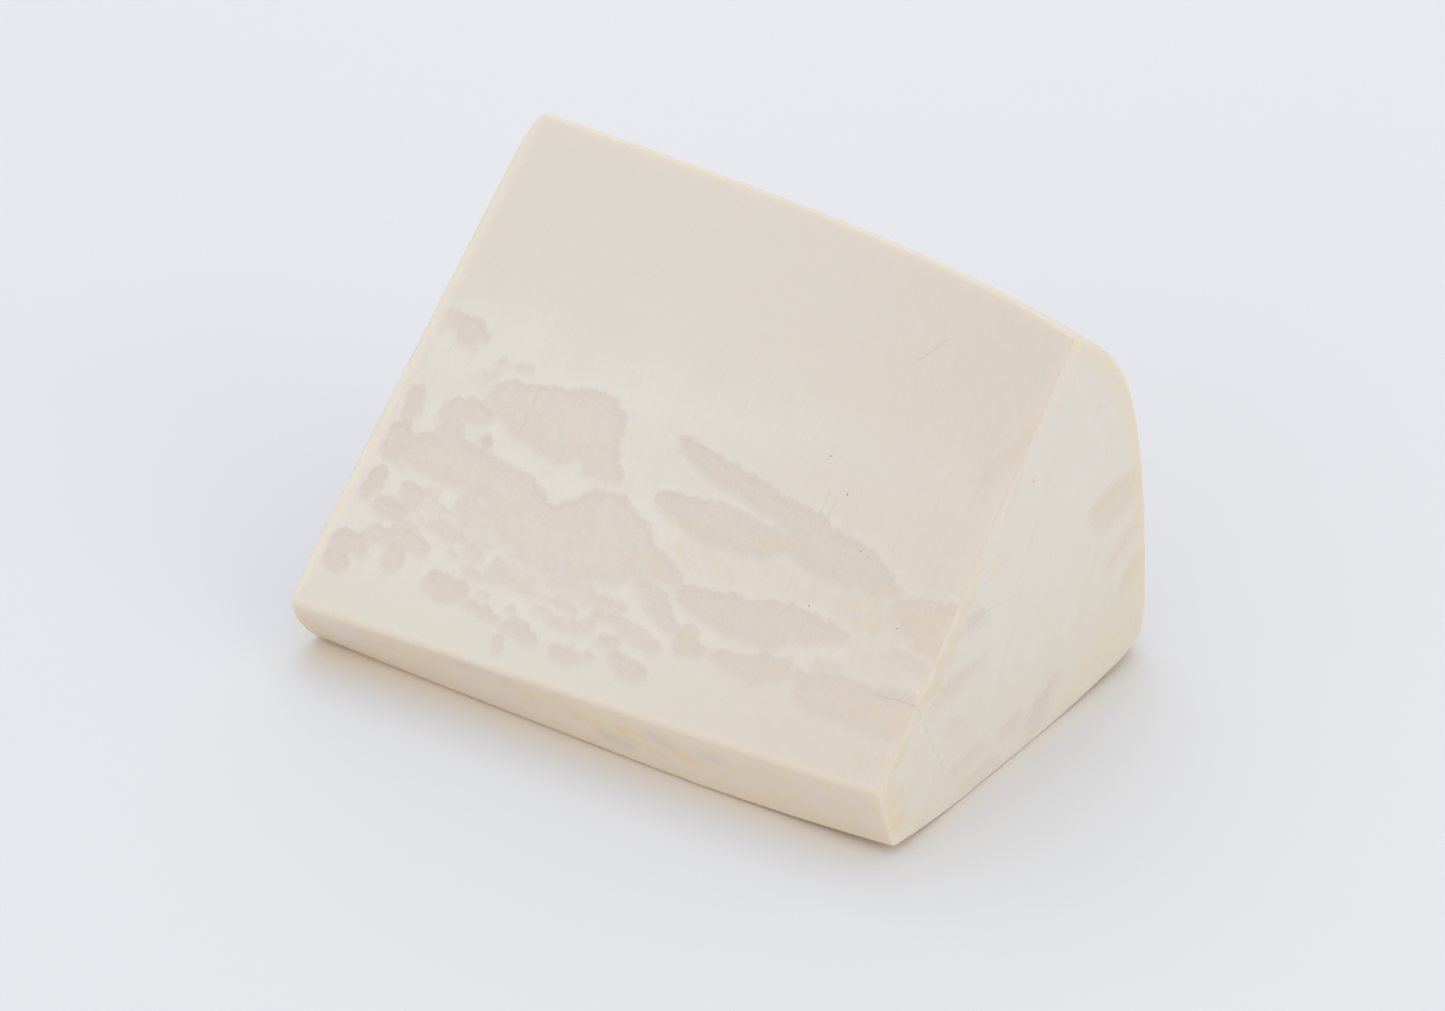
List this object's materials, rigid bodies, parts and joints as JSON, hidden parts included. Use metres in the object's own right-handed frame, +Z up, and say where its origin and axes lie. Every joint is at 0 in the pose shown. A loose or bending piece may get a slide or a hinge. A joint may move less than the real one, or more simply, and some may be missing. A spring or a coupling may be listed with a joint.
{
  "type": "mammoth ivory piece",
  "caption": "Polished wedge of mammoth ivory with a sloping ground face, a narrow undercut front strip, flat sawn ends and the tusk's curved outer surface behind, to carve or display",
  "frame": {"origin": "middle of the footprint's bounding box, on the surface that the block rests on", "axes": "+X along the block's length towards the end where the tusk tapers, +Y from its thin front strip to its thick curved back, +Z up"},
  "size_m": [0.072, 0.053, 0.0464],
  "materials": {
    "ivory": "warm grey-beige polished mammoth ivory with cloudy mauve-beige patches, pale veins and fine sanding scratches, satin"
  },
  "bodies": {
    "root": {"ivory_block": "ivory"}
  },
  "joints": []
}
